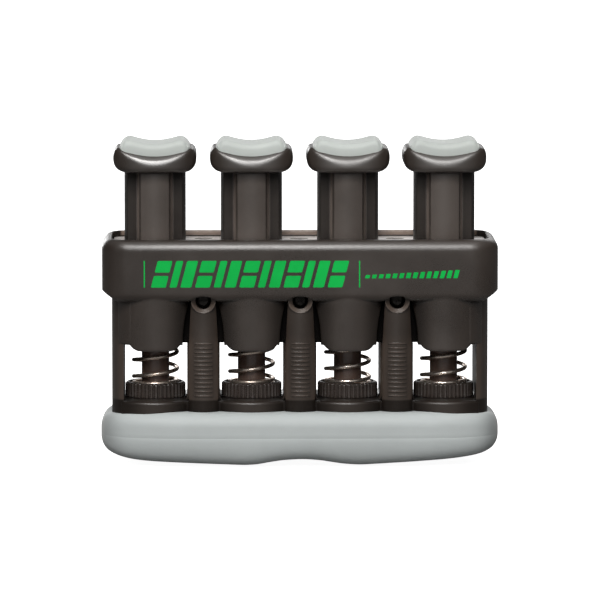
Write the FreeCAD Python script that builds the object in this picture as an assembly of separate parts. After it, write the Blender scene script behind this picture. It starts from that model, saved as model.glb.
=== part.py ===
import FreeCAD, Part
import math
import os

# Hand-held finger exerciser with four spring-loaded plungers.
# Frame: +X to the right, +Y away from the front, +Z up. Origin at the bottom centre of the palm pad.
# All lengths in millimetres.

os.makedirs("parts", exist_ok=True)
V = FreeCAD.Vector

# ---------------------------------------------------------------- driving dimensions
PITCH = 20.33                    # finger spacing
FX = [PITCH * k for k in (-1.5, -0.5, 0.5, 1.5)]   # finger axes
CX = [PITCH * k for k in (-1.0, 0.0, 1.0)]         # column axes

PAD_W, PAD_D, PAD_TOP = 84.0, 30.0, 11.75          # palm pad
SEAT_Z = 11.0                                      # floor of the recess that the frame sits in

FRAME_W, FRAME_D, FRAME_R = 79.2, 23.2, 6.5        # frame plan
WALL_IN = 37.05                                    # inner face of the end walls
WALL_TOP = 35.0
BASE_TOP = 13.9
COLLAR_R, COLLAR_Y = 11.4, 1.0                     # convex collar fronts
STEP_Y = 10.3                                      # the base between the collars and the column feet
COL_HW, COL_HD = 3.43, 8.6                         # column half width, half depth
BULGE_HW, BULGE_R, BULGE_Y = 3.10, 4.0, 12.1       # convex column front
BOSS_R, BOSS_Z = 6.2, 4.2                          # threaded bosses under the base
THREAD_R, THREAD_FLOOR = 4.86, 5.7                 # threaded bore
RING_Z, RING_R, RING_HOLE_R = 35.15, 2.57, 1.64    # screw boss at the top of each leg
RIB_N, RIB_TOP, RIB_BOTTOM = 13, 26.2, 15.2        # grip ribs on the columns
RIB_H, RIB_OUT, RIB_REACH = 0.30, 0.17, 1.95

HOUS_W, HOUS_D, HOUS_R = 83.2, 27.0, 5.6           # housing band
BAND_BOTTOM, RIM_TOP = 35.0, 48.1
SLOPE_IN, SLOPE_OUT = (38.2, 35.0), (41.6, 37.3)   # the band's underside climbs towards its ends
TRAY_FLOOR, RIM_WALL = 43.2, 1.9
LOBE_R, LOBE_FRONT = 10.9, 13.3                    # convex lobes round the bores
END_R = 8.4                                        # tighter outer half of the two end lobes
LINTEL_Z, TONGUE_Z = 25.9, 24.7
BORE_R = 6.6
ARCH_HW, ARCH_TOP = 4.35, 36.3                     # arches over the columns, drawn in towards the top
ARCH_FOOT, ARCH_SIDE, ARCH_SHOULDER, ARCH_NECK = 26.0, (4.12, 29.9), (3.5, 33.2), (2.95, 35.15)
POCKET_TOP, POCKET_Y = 38.1, 6.6

PLATE_TOP, PLATE_GAP = 46.8, 0.15                  # guide plate

STEM_R = 6.475                                     # plunger stem envelope
STEM_TOP = 61.6
RIB_HW, RIB_FOOT_HW, WING_HD = 2.95, 3.75, 3.0     # stem cross-section
SKIRT_R, SKIRT_IN, SKIRT_BOTTOM, SKIRT_TOP = 6.45, 5.3, 34.8, 43.15
POCKET_CEILING = 42.2                              # spring pocket inside the plunger

CAP_HW, CAP_HD, CAP_BOTTOM, CAP_EAR, CAP_MID = 8.65, 8.8, 61.6, 67.0, 65.4
CAP_CORNER = 2.8
FPAD_HW, FPAD_HD, FPAD_EAR, FPAD_MID = 7.25, 7.5, 68.7, 67.8

WHEEL_R, WHEEL_BOTTOM, WHEEL_TOP, TEETH = 6.35, 13.95, 17.05, 40
DISH_R, DISH_Z = 5.45, 15.65
WHEEL_BORE_R = 3.05
HUB_R, HUB_BOTTOM = 4.80, 5.95
SEAT_R, SEAT_IN, SEAT_T = 5.30, 3.10, 0.40

POST_R, POST_TOP = 2.915, 28.2
FOOT_R, FOOT_Z = 4.5, 3.2

WIRE, SPRING_OD, SPRING_PITCH = 0.86, 10.07, 3.5


# ---------------------------------------------------------------- helpers
def box(x0, x1, y0, y1, z0, z1):
    return Part.makeBox(x1 - x0, y1 - y0, z1 - z0, V(x0, y0, z0))


def cyl(x, y, z0, z1, r):
    return Part.makeCylinder(r, z1 - z0, V(x, y, z0))


def cyl_y(x, z, y0, y1, r):
    return Part.makeCylinder(r, y1 - y0, V(x, y0, z), V(0, 1, 0))


def outline(start, steps, at):
    """Closed wire through 2-D points: each step is (end,) for a line or (mid, end) for an arc."""
    edges, p = [], start
    for step in steps:
        q = step[-1]
        if len(step) == 1:
            edges.append(Part.LineSegment(at(*p), at(*q)).toShape())
        else:
            edges.append(Part.Arc(at(*p), at(*step[0]), at(*q)).toShape())
        p = q
    return Part.Wire(edges)


def prism_xz(start, steps, y0, y1, dx=0.0):
    wire = outline(start, steps, lambda u, w: V(u + dx, y0, w))
    return Part.Face(wire).extrude(V(0, y1 - y0, 0))


def prism_yz(start, steps, x0, x1):
    wire = outline(start, steps, lambda u, w: V(x0, u, w))
    return Part.Face(wire).extrude(V(x1 - x0, 0, 0))


def prism_xy(start, steps, z0, z1, dx=0.0):
    wire = outline(start, steps, lambda u, w: V(u + dx, w, z0))
    return Part.Face(wire).extrude(V(0, 0, z1 - z0))


def rounded(w, d, r, z0, z1):
    a, b, k = w / 2, d / 2, r * (1 - math.sqrt(0.5))
    return prism_xy(
        (-a + r, -b),
        [((a - r, -b),), ((a - k, -b + k), (a, -b + r)), ((a, b - r),), ((a - k, b - k), (a - r, b)),
         ((-a + r, b),), ((-a + k, b - k), (-a, b - r)), ((-a, -b + r),), ((-a + k, -b + k), (-a + r, -b))],
        z0, z1,
    )


def union(shapes):
    out = shapes[0]
    if len(shapes) > 1:
        out = out.fuse(shapes[1:])
    return out.removeSplitter()


def edges_where(shape, test):
    return [e for e in shape.Edges if test(e.BoundBox)]


def save(shapes, name):
    """Writes one node: a solid, or a group of separate solids."""
    solids = []
    for s in shapes if isinstance(shapes, list) else [shapes]:
        solids += s.Solids
    for s in solids:
        if not s.isValid() or s.Volume <= 0:
            raise ValueError(name + " is not a sound solid")
    out = solids[0] if len(solids) == 1 else Part.makeCompound(solids)
    out.exportStep("parts/" + name + ".step")
    print("%-22s %d solid(s) %9.1f mm3" % (name, len(solids), sum(s.Volume for s in solids)))
    return out


# ---------------------------------------------------------------- palm pad
def set_back(bar, grow):
    """Moves the bar's front and back in between the end walls, so that the collars stand out."""
    for s in (-1, 1):
        bar = bar.cut(box(-WALL_IN, WALL_IN, *sorted((s * (STEP_Y + grow), s * 20)), SEAT_Z - 1, 50))
    return bar


def base_plan(grow, z0, z1):
    """The outline of the frame's base: a rounded bar with a convex collar in front of and behind each plunger."""
    out = [set_back(rounded(FRAME_W + 2 * grow, FRAME_D + 2 * grow, FRAME_R + grow, z0, z1), grow)]
    for x in FX:
        for s in (-1, 1):
            disc = cyl(x, s * COLLAR_Y, z0, z1, COLLAR_R + grow)
            if not grow:
                disc = disc.makeFillet(0.6, edges_where(disc, lambda b: b.ZMin > z1 - 0.01))
            out.append(disc.common(box(x - 7.0 - grow, x + 7.0 + grow, -20, 20, z0 - 1, z1 + 1)))
    for x in CX:
        for s in (-1, 1):
            out.append(cyl(x, s * (BULGE_Y - BULGE_R), z0, z1, BULGE_R + grow).common(
                box(x - BULGE_HW - grow, x + BULGE_HW + grow, -20, 20, z0 - 1, z1 + 1)))
    return out


def palm_pad():
    front = prism_xz(
        (-35.5, PAD_TOP),
        [((-37.8, 11.6), (-39.9, SEAT_Z)), ((-41.4, 9.6), (-42.0, 7.3)), ((-41.4, 4.4), (-39.2, 2.5)), ((-32.4, 0.7), (-24.0, 0.0)),
         ((-7.0, 0.0),), ((0.0, 1.15), (7.0, 0.0)), ((24.0, 0.0),), ((32.4, 0.7), (39.2, 2.5)), ((41.4, 4.4), (42.0, 7.3)),
         ((41.4, 9.6), (39.9, SEAT_Z)), ((37.8, 11.6), (35.5, PAD_TOP)), ((-35.5, PAD_TOP),)],
        -16, 16,
    )
    side = prism_yz(
        (-12.4, PAD_TOP),
        [((-14.3, 10.7), (-15.0, 8.6)), ((-15.0, 5.4),), ((-13.4, 1.7), (-9.6, 0.0)), ((9.6, 0.0),),
         ((13.4, 1.7), (15.0, 5.4)), ((15.0, 8.6),), ((14.3, 10.7), (12.4, PAD_TOP)), ((-12.4, PAD_TOP),)],
        -43, 43,
    )
    body = rounded(PAD_W, PAD_D, 9.0, -1, 12).common(front).common(side)
    body = body.cut(union(base_plan(0.06, SEAT_Z, 13.0)))
    for x in FX:
        body = body.cut(cyl(x, 0, FOOT_Z - 0.1, PAD_TOP + 1, BOSS_R + 0.15))
    return body


# ---------------------------------------------------------------- frame
def under_slope(side, drop=0.0):
    """Everything below the sloping ends of the band's underside, at one end."""
    (ax, az), (bx, bz) = SLOPE_IN, SLOPE_OUT
    m = (bz - az) / (bx - ax)
    a, b = side * ax, side * 50.0
    return prism_xz((a, 5), [((b, 5),), ((b, az + m * (50.0 - ax) - drop),), ((a, az - drop),), ((a, 5),)], -30, 30)


def frame():
    shell = rounded(FRAME_W, FRAME_D, FRAME_R, SEAT_Z, WALL_TOP)
    tall = rounded(FRAME_W, FRAME_D, FRAME_R, SEAT_Z, WALL_TOP + 2.5)
    shell = union([shell] + [tall.common(under_slope(side, 0.02)) for side in (-1, 1)])
    shell = set_back(shell.cut(box(-WALL_IN, WALL_IN, -20, 20, BASE_TOP, 50)), 0.0)
    parts = [shell] + base_plan(0.0, SEAT_Z, BASE_TOP)[1:]
    reach = PITCH / 2 - COL_HW
    for x in FX:
        parts.append(cyl(x, 0, BOSS_Z, SEAT_Z + 0.5, BOSS_R))
        # small fillets in the lower corners of the windows
        for t in (-1, 1):
            edge = x + t * reach
            fillet = box(*sorted((edge - t * 0.8, edge + t * 0.1)), -COL_HD, COL_HD, BASE_TOP - 0.1, BASE_TOP + 0.8)
            parts.append(fillet.cut(cyl_y(edge - t * 0.8, BASE_TOP + 0.8, -20, 20, 0.8)))
    for x in CX:
        core = box(x - COL_HW, x + COL_HW, -COL_HD, COL_HD, SEAT_Z, LINTEL_Z - 0.05)
        core = core.makeChamfer(0.45, edges_where(core, lambda b: b.ZLength > 5))
        parts.append(core)
        for s in (-1, 1):
            # convex grip face, flared a little where it meets the base
            grip = cyl(x, s * (BULGE_Y - BULGE_R), SEAT_Z, 40, BULGE_R)
            leg = prism_xz(
                (-BULGE_HW, SEAT_Z),
                [((BULGE_HW, SEAT_Z),), ((BULGE_HW, 25.5),), ((RING_R, RING_Z),), ((0, RING_Z + RING_R), (-RING_R, RING_Z)),
                 ((-BULGE_HW, 25.5),), ((-BULGE_HW, SEAT_Z),)],
                -15, 15, x,
            )
            near, far = sorted((s * (POCKET_Y + 0.2), s * 15))
            limb = grip.fuse(box(x - BULGE_HW, x + BULGE_HW, *sorted((s * (POCKET_Y + 0.2), s * 9.5)), SEAT_Z, 40))
            limb = limb.common(leg).common(box(x - 5, x + 5, near, far, SEAT_Z, 40))
            ring = cyl_y(x, RING_Z, *sorted((s * (POCKET_Y + 0.2), s * (BULGE_Y + 0.05))), RING_R)
            limb = limb.fuse(ring)
            parts.append(limb)
            # raised grip ribs that follow the crown of the column
            step = (RIB_TOP - RIB_BOTTOM) / (RIB_N - 1)
            for k in range(RIB_N):
                z = RIB_BOTTOM + k * step
                rib = cyl(x, s * (BULGE_Y - BULGE_R), z - RIB_H / 2, z + RIB_H / 2, BULGE_R + RIB_OUT)
                parts.append(rib.common(box(x - RIB_REACH, x + RIB_REACH, *sorted((s * (BULGE_Y - 1.2), s * 15)), 0, 40)))
    body = union(parts)
    for x in FX:
        body = body.cut(cyl(x, 0, THREAD_FLOOR, BASE_TOP + 1, THREAD_R))
        body = body.cut(cyl(x, 0, BOSS_Z - 1, THREAD_FLOOR + 1, POST_R))
        # clearance for the rim of the wheel beside the end walls and the columns
        body = body.cut(cyl(x, 0, BASE_TOP, 25.0, WHEEL_R + 0.2))
    for x in CX:
        for s in (-1, 1):
            body = body.cut(cyl_y(x, RING_Z, *sorted((s * 8.9, s * 14)), RING_HOLE_R))
            body = body.cut(cyl_y(x, RING_Z, *sorted((s * 6, s * 10)), 1.0))
            # dished face of the ring
            body = body.cut(Part.makeCone(RING_R - 0.15, RING_HOLE_R, 0.55, V(x, s * (BULGE_Y + 0.05), RING_Z), V(0, -s, 0)))
    return body


# ---------------------------------------------------------------- housing
def arch(x, top, y0, y1):
    """The opening over a column: upright at the foot, leaning in to a neck, with a round top."""
    h, (sx, sz), (hx, hz), (nx, nz) = ARCH_HW, ARCH_SIDE, ARCH_SHOULDER, ARCH_NECK
    return prism_xz(
        (-h, 20),
        [((h, 20),), ((h, ARCH_FOOT),), ((sx, sz), (hx, hz)), ((nx, nz),), ((0, top), (-nx, nz)), ((-hx, hz),),
         ((-sx, sz), (-h, ARCH_FOOT)), ((-h, 20),)],
        y0, y1, x,
    )


def housing():
    band = rounded(HOUS_W, HOUS_D, HOUS_R, BAND_BOTTOM, RIM_TOP)
    band = band.makeFillet(2.2, edges_where(band, lambda b: b.ZMin > RIM_TOP - 0.01))
    band = band.makeFillet(1.7, edges_where(band, lambda b: b.ZMax < BAND_BOTTOM + 0.01))
    for side in (-1, 1):
        band = band.cut(under_slope(side))
    parts = [band]
    reach = WALL_IN - 0.1
    r3 = 3.26
    for x in FX:
        x0, x1 = max(x - PITCH / 2 - 0.05, -reach), min(x + PITCH / 2 + 0.05, reach)
        lobe = union([cyl(x, s * (LOBE_FRONT - LOBE_R), TONGUE_Z, BAND_BOTTOM + 3, LOBE_R) for s in (-1, 1)]
                     + [box(x - 10.2, x + 10.2, -6.3, 6.3, TONGUE_Z, BAND_BOTTOM + 3)])
        if x in (FX[0], FX[-1]):
            # the outer half turns in to meet the end wall
            e = 1 if x > 0 else -1
            keep = [cyl(x, s * (LOBE_FRONT - END_R), 20, 40, END_R) for s in (-1, 1)]
            keep.append(box(x - END_R, x + END_R, -(LOBE_FRONT - END_R), LOBE_FRONT - END_R, 20, 40))
            keep.append(box(*sorted((x - e * 12, x)), -15, 15, 20, 40))
            lobe = lobe.common(union(keep))
        k = r3 * math.sin(math.radians(22))
        tongue = prism_xz(
            (-2.9, TONGUE_Z),
            [((2.9, TONGUE_Z),), ((2.9 + k, TONGUE_Z + r3 - math.sqrt(r3 * r3 - k * k)), (5.25, LINTEL_Z)), ((12, LINTEL_Z),),
             ((12, 40),), ((-12, 40),), ((-12, LINTEL_Z),), ((-5.25, LINTEL_Z),),
             ((-2.9 - k, TONGUE_Z + r3 - math.sqrt(r3 * r3 - k * k)), (-2.9, TONGUE_Z))],
            -15, 15, x,
        )
        parts.append(lobe.common(tongue).common(box(x0, x1, -15, 15, 20, 40)))
    body = union(parts)
    # the tray that holds the guide plate
    tray = rounded(HOUS_W - 2 * RIM_WALL, HOUS_D - 2 * RIM_WALL, HOUS_R - RIM_WALL, TRAY_FLOOR, RIM_TOP + 5)
    body = body.cut(tray)
    for x in FX:
        body = body.cut(cyl(x, 0, 20, TRAY_FLOOR + 1, BORE_R))
    for x in CX:
        for s in (-1, 1):
            body = body.cut(arch(x, ARCH_TOP, *sorted((s * POCKET_Y, s * 15))))
            pocket = arch(x, POCKET_TOP, *sorted((s * POCKET_Y, s * 12.35)))
            body = body.cut(pocket)
            body = body.cut(cyl_y(x, RING_Z, *sorted((s * 2.6, s * 8)), 0.97))
            body = body.cut(cyl(x, s * 5.4, 38.9, TRAY_FLOOR + 1, 0.97))
    return body


# ---------------------------------------------------------------- plunger stem section
def stem_section(grow, z0, z1, x):
    """A round stem with four corner notches, grown by a clearance."""
    g = grow
    rib = STEM_R + 2
    cross = prism_xy(
        (-RIB_HW - g, -rib),
        [((RIB_HW + g, -rib),), ((RIB_HW + g, -5.76 - g),), ((RIB_FOOT_HW + g, -WING_HD - g),), ((rib, -WING_HD - g),),
         ((rib, WING_HD + g),), ((RIB_FOOT_HW + g, WING_HD + g),), ((RIB_HW + g, 5.76 + g),), ((RIB_HW + g, rib),),
         ((-RIB_HW - g, rib),), ((-RIB_HW - g, 5.76 + g),), ((-RIB_FOOT_HW - g, WING_HD + g),), ((-rib, WING_HD + g),),
         ((-rib, -WING_HD - g),), ((-RIB_FOOT_HW - g, -WING_HD - g),), ((-RIB_HW - g, -5.76 - g),), ((-RIB_HW - g, -rib),)],
        z0, z1, x,
    )
    return cross.common(cyl(x, 0, z0, z1, STEM_R + g))


def plunger(x):
    stem = stem_section(0.0, SKIRT_TOP - 0.5, STEM_TOP, x)
    skirt = cyl(x, 0, SKIRT_BOTTOM, SKIRT_TOP, SKIRT_R)
    skirt = skirt.makeChamfer(0.3, edges_where(skirt, lambda b: b.ZLength < 0.01))
    body = union([stem, skirt])
    body = body.cut(cyl(x, 0, SKIRT_BOTTOM - 1, POCKET_CEILING, SKIRT_IN))
    # pilot hole for the cap screw
    return body.cut(cyl(x, 0, 56.4, STEM_TOP + 1, 1.12))


def guide_plate():
    body = rounded(HOUS_W - 2 * RIM_WALL - 2 * PLATE_GAP, HOUS_D - 2 * RIM_WALL - 2 * PLATE_GAP,
                   HOUS_R - RIM_WALL - PLATE_GAP, TRAY_FLOOR, PLATE_TOP)
    body = body.makeChamfer(0.3, edges_where(body, lambda b: b.ZMin > PLATE_TOP - 0.01))
    for x in FX:
        body = body.cut(stem_section(0.2, TRAY_FLOOR - 1, PLATE_TOP + 1, x))
    for x in CX:
        for s in (-1, 1):
            body = body.cut(cyl(x, s * 5.4, PLATE_TOP - 1.3, PLATE_TOP + 1, 1.95))
            body = body.cut(cyl(x, s * 5.4, TRAY_FLOOR - 1, PLATE_TOP, 1.05))
    return body


def pan_screw(head_r, head_h, shank_r, length, slot_r, slot_d):
    """Screw along -Z with the seat of its head at z = 0: domed head, cross recess, plain shank."""
    head = cyl(0, 0, 0, head_h, head_r)
    head = head.makeFillet(head_h * 0.6, edges_where(head, lambda b: b.ZMin > head_h - 0.01))
    shank = cyl(0, 0, -length, 0.2, shank_r)
    shank = shank.makeChamfer(shank_r * 0.55, edges_where(shank, lambda b: b.ZMax < -length + 0.01))
    body = union([head, shank])
    w = slot_r * 0.22
    body = body.cut(box(-slot_r, slot_r, -w, w, head_h - slot_d, head_h + 1))
    return body.cut(box(-w, w, -slot_r, slot_r, head_h - slot_d, head_h + 1))


def guide_plate_screws():
    out = []
    for x in CX:
        for s in (-1, 1):
            screw = pan_screw(1.75, 1.1, 0.95, 5.9, 1.1, 0.6)
            screw.rotate(V(0, 0, 0), V(0, 0, 1), 20 + 31 * CX.index(x) + 17 * s)
            screw.translate(V(x, s * 5.4, PLATE_TOP - 1.3))
            out.append(screw)
    return out


def column_screws():
    out = []
    for x in CX:
        for s in (-1, 1):
            screw = pan_screw(1.5, 1.0, 0.95, 5.9, 0.95, 0.55)
            screw.rotate(V(0, 0, 0), V(0, 0, 1), 12 + 37 * CX.index(x) + 11 * s)
            screw.rotate(V(0, 0, 0), V(1, 0, 0), 90 if s < 0 else -90)
            screw.translate(V(x, s * 8.9, RING_Z))
            out.append(screw)
    return out


# ---------------------------------------------------------------- cap, its screw, its rubber pad
def corner_plan(x):
    body = rounded(2 * CAP_HW + 0.02, 2 * CAP_HD + 0.02, CAP_CORNER, CAP_BOTTOM - 1, CAP_EAR + 1)
    body.translate(V(x, 0, 0))
    return body


def cap(x):
    body = prism_xz(
        (-5.6, CAP_BOTTOM),
        [((5.6, CAP_BOTTOM),), ((7.85, 62.65), (CAP_HW, 64.9)), ((8.42, 66.35), (7.45, CAP_EAR)),
         ((0.0, CAP_MID), (-7.45, CAP_EAR)), ((-8.42, 66.35), (-CAP_HW, 64.9)), ((-7.85, 62.65), (-5.6, CAP_BOTTOM))],
        -CAP_HD, CAP_HD, x,
    )
    # crest of each ear first, then the whole outline of both ends
    body = body.makeFillet(0.5, edges_where(body, lambda b: b.YLength > 1 and b.ZMin > CAP_EAR - 0.1))
    body = body.makeFillet(1.4, edges_where(body, lambda b: b.YLength < 0.01))
    # blunt corners in plan
    body = body.common(corner_plan(x))
    body = body.cut(cyl(x, 0, 64.0, CAP_EAR + 1, 2.2))
    return body.cut(cyl(x, 0, CAP_BOTTOM - 1, 65, 1.3))


def cap_screw(x):
    screw = pan_screw(2.0, 1.1, 1.1, 7.4, 1.2, 0.6)
    screw.rotate(V(0, 0, 0), V(0, 0, 1), 25 + 19 * FX.index(x))
    screw.translate(V(x, 0, 64.0))
    return screw


def finger_pad(x):
    gap = 0.03
    # the underside follows the saddle of the cap
    depth = CAP_EAR - CAP_MID
    saddle_r = (7.45 ** 2 + depth ** 2) / (2 * depth)
    edge_z = CAP_MID + gap + saddle_r - math.sqrt(saddle_r ** 2 - FPAD_HW ** 2)
    body = prism_xz(
        (-FPAD_HW, edge_z),
        [((0.0, CAP_MID + gap), (FPAD_HW, edge_z)), ((6.75, 68.0), (5.5, FPAD_EAR)), ((0.0, FPAD_MID), (-5.5, FPAD_EAR)),
         ((-6.75, 68.0), (-FPAD_HW, edge_z))],
        -FPAD_HD, FPAD_HD, x,
    )
    return body


# ---------------------------------------------------------------- adjuster wheel, seat, post, spring
def adjuster_wheel(x):
    pts = []
    for k in range(TEETH):
        for frac, r in ((0.0, WHEEL_R), (0.34, WHEEL_R), (0.60, WHEEL_R - 0.30), (0.74, WHEEL_R - 0.30)):
            a = 2 * math.pi * (k + frac) / TEETH
            pts.append(V(x + r * math.cos(a), r * math.sin(a), WHEEL_BOTTOM))
    pts.append(pts[0])
    rim = Part.Face(Part.makePolygon(pts)).extrude(V(0, 0, WHEEL_TOP - WHEEL_BOTTOM))
    # rolled-over corners at the top and bottom of the knurl
    turned = Part.Face(Part.makePolygon([
        V(x, 0, WHEEL_BOTTOM - 0.1), V(x + WHEEL_R - 0.1, 0, WHEEL_BOTTOM - 0.1), V(x + WHEEL_R + 0.1, 0, WHEEL_BOTTOM + 0.2),
        V(x + WHEEL_R + 0.1, 0, WHEEL_TOP - 0.45), V(x + WHEEL_R - 0.45, 0, WHEEL_TOP + 0.05), V(x, 0, WHEEL_TOP + 0.05),
        V(x, 0, WHEEL_BOTTOM - 0.1)])).revolve(V(x, 0, 0), V(0, 0, 1), 360)
    rim = rim.common(turned)
    hub = cyl(x, 0, HUB_BOTTOM, WHEEL_BOTTOM + 0.5, HUB_R)
    hub = hub.makeChamfer(0.4, edges_where(hub, lambda b: b.ZMax < HUB_BOTTOM + 0.01))
    body = rim.fuse(hub)
    body = body.cut(Part.makeCone(DISH_R, DISH_R + 0.25, WHEEL_TOP - DISH_Z + 0.1, V(x, 0, DISH_Z)))
    return body.cut(cyl(x, 0, HUB_BOTTOM - 1, WHEEL_TOP + 1, WHEEL_BORE_R))


def spring_seat(x):
    z = DISH_Z + 0.02
    body = cyl(x, 0, z, z + SEAT_T, SEAT_R)
    return body.cut(cyl(x, 0, z - 1, z + SEAT_T + 1, SEAT_IN))


def guide_post(x):
    post = cyl(x, 0, BOSS_Z - 0.2, POST_TOP, POST_R)
    post = post.makeChamfer(0.4, edges_where(post, lambda b: b.ZMin > POST_TOP - 0.01))
    foot = cyl(x, 0, FOOT_Z, BOSS_Z, FOOT_R)
    return union([post, foot])


def spring(x):
    r = (SPRING_OD - WIRE) / 2
    z0 = DISH_Z + 0.02 + SEAT_T + WIRE / 2 + 0.06
    z1 = POCKET_CEILING - WIRE / 2 - 0.06
    helix = Part.makeHelix(SPRING_PITCH, z1 - z0, r)
    wire = Part.Wire(helix)
    slope = SPRING_PITCH / (2 * math.pi * r)
    # twelve-sided section square to the wire, of the round wire's area
    along = V(0, 1, slope).normalize()
    across = along.cross(V(1, 0, 0))
    reach = WIRE / 2 * math.sqrt(math.pi / (6 * math.sin(math.pi / 6)))
    turn = [math.radians(15 + 30 * k) for k in range(12)]
    points = [V(r, 0, 0) + V(1, 0, 0) * (reach * math.cos(a)) + across * (reach * math.sin(a)) for a in turn]
    section = Part.makePolygon(points + points[:1])
    pipe = Part.BRepOffsetAPI.MakePipeShell(wire)
    pipe.setFrenetMode(True)
    pipe.add(section)
    pipe.build()
    pipe.makeSolid()
    body = pipe.shape()
    body.translate(V(x, 0, z0))
    return body


save(palm_pad(), "palm_pad")
save(frame(), "frame")
save(housing(), "housing")
save(guide_plate(), "guide_plate")
save(guide_plate_screws(), "guide_plate_screws")
save(column_screws(), "column_screws")
for n, x in enumerate(FX, 1):
    save(plunger(x), "plunger_%d" % n)
    save(cap(x), "cap_%d" % n)
    save(cap_screw(x), "cap_screw_%d" % n)
    save(finger_pad(x), "finger_pad_%d" % n)
    save(adjuster_wheel(x), "adjuster_wheel_%d" % n)
    save(spring_seat(x), "spring_seat_%d" % n)
    save(guide_post(x), "guide_post_%d" % n)
    save(spring(x), "spring_%d" % n)
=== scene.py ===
import math

import bmesh
import bpy
import numpy as np
from mathutils import Matrix, Vector


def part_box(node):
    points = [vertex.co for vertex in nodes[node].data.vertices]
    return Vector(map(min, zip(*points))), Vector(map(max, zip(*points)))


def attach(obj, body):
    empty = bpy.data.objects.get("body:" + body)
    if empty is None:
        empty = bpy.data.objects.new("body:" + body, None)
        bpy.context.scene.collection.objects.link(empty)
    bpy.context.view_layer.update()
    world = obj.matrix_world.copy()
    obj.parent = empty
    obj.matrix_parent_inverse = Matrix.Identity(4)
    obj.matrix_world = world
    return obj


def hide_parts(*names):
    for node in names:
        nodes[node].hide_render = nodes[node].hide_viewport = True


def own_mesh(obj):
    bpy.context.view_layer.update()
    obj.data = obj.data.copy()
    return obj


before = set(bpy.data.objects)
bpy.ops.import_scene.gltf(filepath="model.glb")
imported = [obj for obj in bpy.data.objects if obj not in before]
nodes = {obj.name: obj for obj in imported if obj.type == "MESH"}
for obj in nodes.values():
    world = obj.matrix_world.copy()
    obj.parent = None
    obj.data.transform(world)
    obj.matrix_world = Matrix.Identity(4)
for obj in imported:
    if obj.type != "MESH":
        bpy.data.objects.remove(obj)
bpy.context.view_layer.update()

MM = 0.001
scene = bpy.context.scene
scene.view_settings.view_transform = "Standard"

# ------------------------------------------------------------------ main places, in millimetres
PITCH = 20.33
FX = [PITCH * k for k in (-1.5, -0.5, 0.5, 1.5)]
FRONT_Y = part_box("housing")[0].y / MM


# ------------------------------------------------------------------ camera
cam_data = bpy.data.cameras.new("camera")
camera = bpy.data.objects.new("camera", cam_data)
scene.collection.objects.link(camera)
cam_at, cam_to = Vector((-17.5, -1200.0, 155.2)) * MM, Vector((0.1, 0.0, 34.2)) * MM
camera.location = cam_at
camera.rotation_mode = "QUATERNION"
camera.rotation_quaternion = (cam_to - cam_at).to_track_quat("-Z", "Y")
cam_data.sensor_width = 36.0
cam_data.lens = 342.03
cam_data.clip_start, cam_data.clip_end = 0.05, 60.0
scene.camera = camera


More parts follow.
